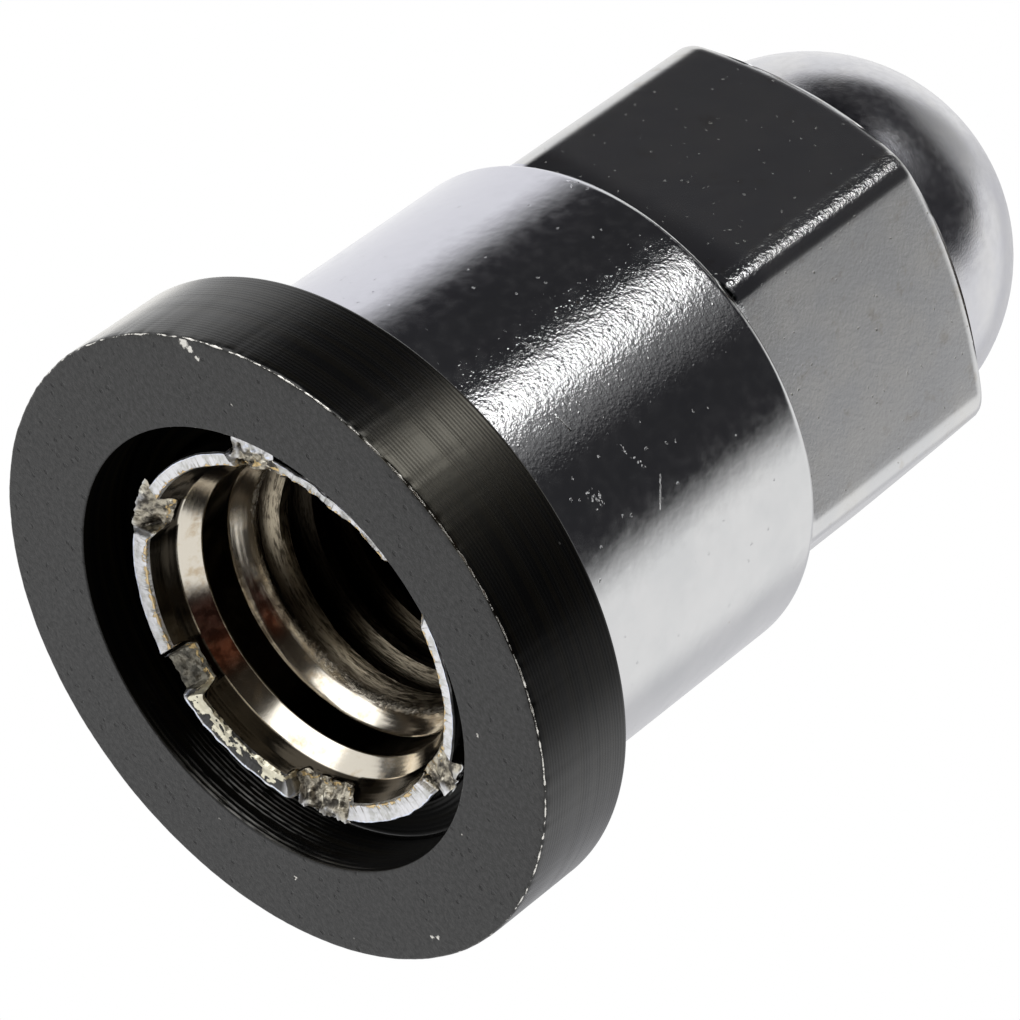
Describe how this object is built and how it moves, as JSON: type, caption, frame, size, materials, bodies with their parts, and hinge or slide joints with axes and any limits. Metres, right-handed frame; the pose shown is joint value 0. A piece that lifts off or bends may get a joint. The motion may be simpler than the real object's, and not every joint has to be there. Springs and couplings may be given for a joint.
{
  "type": "wheel nut",
  "caption": "Closed-end wheel nut with a hexagonal drive, a round barrel and a captive seat washer that turns freely on its staked shank.",
  "frame": {"origin": "centre of the captive washer's seat face, which the nut stands on", "axes": "+Z along the thread axis, from the seat face towards the closed dome; +X towards a corner of the hexagon"},
  "size_m": [0.03, 0.03, 0.0462],
  "materials": {
    "chrome_plate": "chrome plate with a fine orange-peel grain on the barrel, warmer inside the bore, bare torn metal on the staked rim",
    "black_steel": "black oxide on turned steel, with bright chips along its edges"
  },
  "bodies": {
    "nut": {"nut_body": "chrome_plate"},
    "washer": {"captive_washer": "black_steel"}
  },
  "joints": [
    {"name": "washer_spin", "type": "hinge", "parent": "nut", "child": "washer", "pos_m": [0, 0, 0.0041], "axis": [0, 0, 1], "continuous": true}
  ]
}
